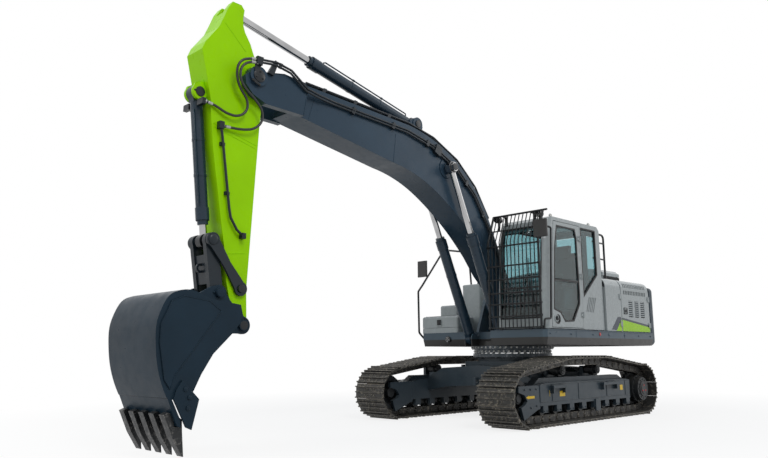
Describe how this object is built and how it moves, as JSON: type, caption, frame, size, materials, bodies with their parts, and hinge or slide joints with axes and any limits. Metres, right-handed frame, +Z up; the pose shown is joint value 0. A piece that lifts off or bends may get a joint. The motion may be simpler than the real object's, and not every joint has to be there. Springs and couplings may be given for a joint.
{
  "type": "crawler excavator",
  "caption": "Crawler excavator with slewing house, guarded cab, boom, arm and bucket on hydraulic cylinders, and tracks with triple-bar shoes",
  "frame": {"origin": "On the ground under the slew axis", "axes": "+X forward to the boom side with the house not slewed, +Y to the left (cab) side, +Z up"},
  "size_m": [9.4409, 3.2, 5.0991],
  "materials": {
    "frame_grey": "satin",
    "track_steel": "worn",
    "wheel_black": "satin",
    "ring_steel": "satin",
    "weight_grey": "satin",
    "engine_metal": "rough",
    "panel_grey": "gloss",
    "cab_grey": "gloss",
    "tinted_glass": "clear",
    "cab_trim": "matte",
    "guard_black": "satin",
    "rail_black": "satin",
    "mirror_housing": "matte",
    "lamp_housing": "gloss",
    "exhaust_metal": "satin",
    "boom_grey": "gloss",
    "hose_black": "matte",
    "pipe_black": "satin",
    "cylinder_grey": "gloss",
    "chrome_rod": "polished",
    "arm_green": "gloss",
    "link_black": "gloss",
    "bucket_black": "satin",
    "teeth_steel": "worn"
  },
  "bodies": {
    "undercarriage": {"centre_frame": "frame_grey", "track_frames": "frame_grey", "track_left": "track_steel", "track_right": "track_steel", "front_idlers": "wheel_black", "drive_sprockets": "wheel_black", "track_rollers": "wheel_black", "slew_ring_lower": "ring_steel"},
    "house": {"house_frame": "frame_grey", "slew_ring_upper": "ring_steel", "counterweight": "weight_grey", "engine_block": "engine_metal", "engine_bay_panels": "panel_grey", "hydraulic_tank": "panel_grey", "fuel_tank": "panel_grey", "tool_box": "panel_grey", "cab_shell": "cab_grey", "cab_windows": "tinted_glass", "cab_seat_and_levers": "cab_trim", "cab_front_guard": "guard_black", "handrails": "rail_black", "mirrors": "mirror_housing", "work_lamps": "lamp_housing", "exhaust_pipe": "exhaust_metal"},
    "boom": {"boom": "boom_grey", "boom_pipes": "pipe_black"},
    "boom_cylinder_barrels": {"boom_cylinder_barrels": "cylinder_grey"},
    "boom_cylinder_rods": {"boom_cylinder_rods": "chrome_rod"},
    "arm_cylinder_barrel": {"arm_cylinder_barrel": "cylinder_grey"},
    "arm_cylinder_rod": {"arm_cylinder_rod": "chrome_rod"},
    "arm": {"arm": "arm_green", "arm_pipes": "pipe_black", "arm_hoses": "hose_black"},
    "bucket_cylinder_barrel": {"bucket_cylinder_barrel": "cylinder_grey"},
    "bucket_cylinder_rod": {"bucket_cylinder_rod": "chrome_rod"},
    "guide_links": {"guide_links": "link_black"},
    "bucket_link": {"bucket_link": "link_black"},
    "bucket": {"bucket": "bucket_black", "bucket_teeth": "teeth_steel"},
    "cab_door": {"cab_door": "cab_grey", "cab_door_glass": "tinted_glass"},
    "left_front_door": {"left_front_door": "panel_grey"},
    "left_rear_door": {"left_rear_door": "panel_grey"},
    "pump_door": {"pump_door": "panel_grey"},
    "engine_hood": {"engine_hood": "panel_grey"},
    "tool_box_lid": {"tool_box_lid": "panel_grey"}
  },
  "joints": [
    {"name": "slew", "type": "hinge", "parent": "undercarriage", "child": "house", "pos_m": [0, 0, 1.05], "axis": [0, 0, 1], "continuous": true},
    {"name": "boom_lift", "type": "hinge", "parent": "house", "child": "boom", "pos_m": [0.158, 0, 1.777], "axis": [0, -1, 0], "range_deg": [-70, 36]},
    {"name": "boom_cylinder_swing", "type": "hinge", "parent": "house", "child": "boom_cylinder_barrels", "pos_m": [0.702, 0, 1.221], "axis": [0, -1, 0], "range_deg": [-71.66, 37.1]},
    {"name": "boom_cylinder_stroke", "type": "slide", "parent": "boom_cylinder_barrels", "child": "boom_cylinder_rods", "axis": [0.4208, 0, 0.9072], "range_m": [-0.8908, 0.4606]},
    {"name": "arm_reach", "type": "hinge", "parent": "boom", "child": "arm", "pos_m": [5.33978, 0, 4.1922], "axis": [0, 1, 0], "range_deg": [-76, 45], "deforming": ["arm_hoses"]},
    {"name": "arm_cylinder_swing", "type": "hinge", "parent": "boom", "child": "arm_cylinder_barrel", "pos_m": [2.39354, 0, 4.33048], "axis": [0, 1, 0], "range_deg": [-1.71, 1.21]},
    {"name": "arm_cylinder_stroke", "type": "slide", "parent": "arm_cylinder_barrel", "child": "arm_cylinder_rod", "axis": [0.9781, 0, 0.2083], "range_m": [-1.0153, 0.6032]},
    {"name": "bucket_curl", "type": "hinge", "parent": "arm", "child": "bucket", "pos_m": [5.41806, 0, 1.29926], "axis": [0, 1, 0], "range_deg": [0, 136]},
    {"name": "guide_link_swing", "type": "hinge", "parent": "arm", "child": "guide_links", "pos_m": [5.4432, 0, 1.70109], "axis": [0, 1, 0], "range_deg": [-0.5, 108.19]},
    {"name": "bucket_link_swing", "type": "hinge", "parent": "guide_links", "child": "bucket_link", "pos_m": [5.81249, 0, 2.21327], "axis": [0, 1, 0], "range_deg": [-74.78, 0.5]},
    {"name": "bucket_cylinder_swing", "type": "hinge", "parent": "arm", "child": "bucket_cylinder_barrel", "pos_m": [5.98848, 0, 3.87964], "axis": [0, 1, 0], "range_deg": [-9.77, 0.5]},
    {"name": "bucket_cylinder_stroke", "type": "slide", "parent": "bucket_cylinder_barrel", "child": "bucket_cylinder_rod", "axis": [-0.105, 0, -0.9945], "range_m": [-0.005, 1.0311]},
    {"name": "cab_door_swing", "type": "hinge", "parent": "house", "child": "cab_door", "pos_m": [-0.034, 1.318, 2], "axis": [0, 0, 1], "range_deg": [0, 160]},
    {"name": "left_front_door_swing", "type": "hinge", "parent": "house", "child": "left_front_door", "pos_m": [-1.228, 1.344, 1.675], "axis": [0, 0, 1], "range_deg": [0, 120]},
    {"name": "left_rear_door_swing", "type": "hinge", "parent": "house", "child": "left_rear_door", "pos_m": [-2.268, 1.344, 1.675], "axis": [0, 0, 1], "range_deg": [0, 120]},
    {"name": "pump_door_swing", "type": "hinge", "parent": "house", "child": "pump_door", "pos_m": [-2.268, -1.344, 1.675], "axis": [0, 0, -1], "range_deg": [0, 120]},
    {"name": "engine_hood_lift", "type": "hinge", "parent": "house", "child": "engine_hood", "pos_m": [-1.918, 0, 2.293], "axis": [0, -1, 0], "range_deg": [0, 70]},
    {"name": "tool_box_lid_lift", "type": "hinge", "parent": "house", "child": "tool_box_lid", "pos_m": [0.233, -0.97, 1.606], "axis": [0, -1, 0], "range_deg": [0, 90]}
  ],
  "couplings": [
    {"joint": "boom_cylinder_swing", "follows": "boom_lift", "ratio": 1.0166},
    {"joint": "boom_cylinder_stroke", "follows": "boom_lift", "m_per_rad": 0.72508},
    {"joint": "arm_cylinder_swing", "follows": "arm_reach", "ratio": 0.015875},
    {"joint": "arm_cylinder_stroke", "follows": "arm_reach", "m_per_rad": 0.76167},
    {"joint": "guide_link_swing", "follows": "bucket_curl", "ratio": 0.79182},
    {"joint": "bucket_link_swing", "follows": "bucket_curl", "ratio": -0.54621},
    {"joint": "bucket_cylinder_swing", "follows": "bucket_curl", "ratio": -0.06817},
    {"joint": "bucket_cylinder_stroke", "follows": "bucket_curl", "m_per_rad": 0.43229}
  ]
}
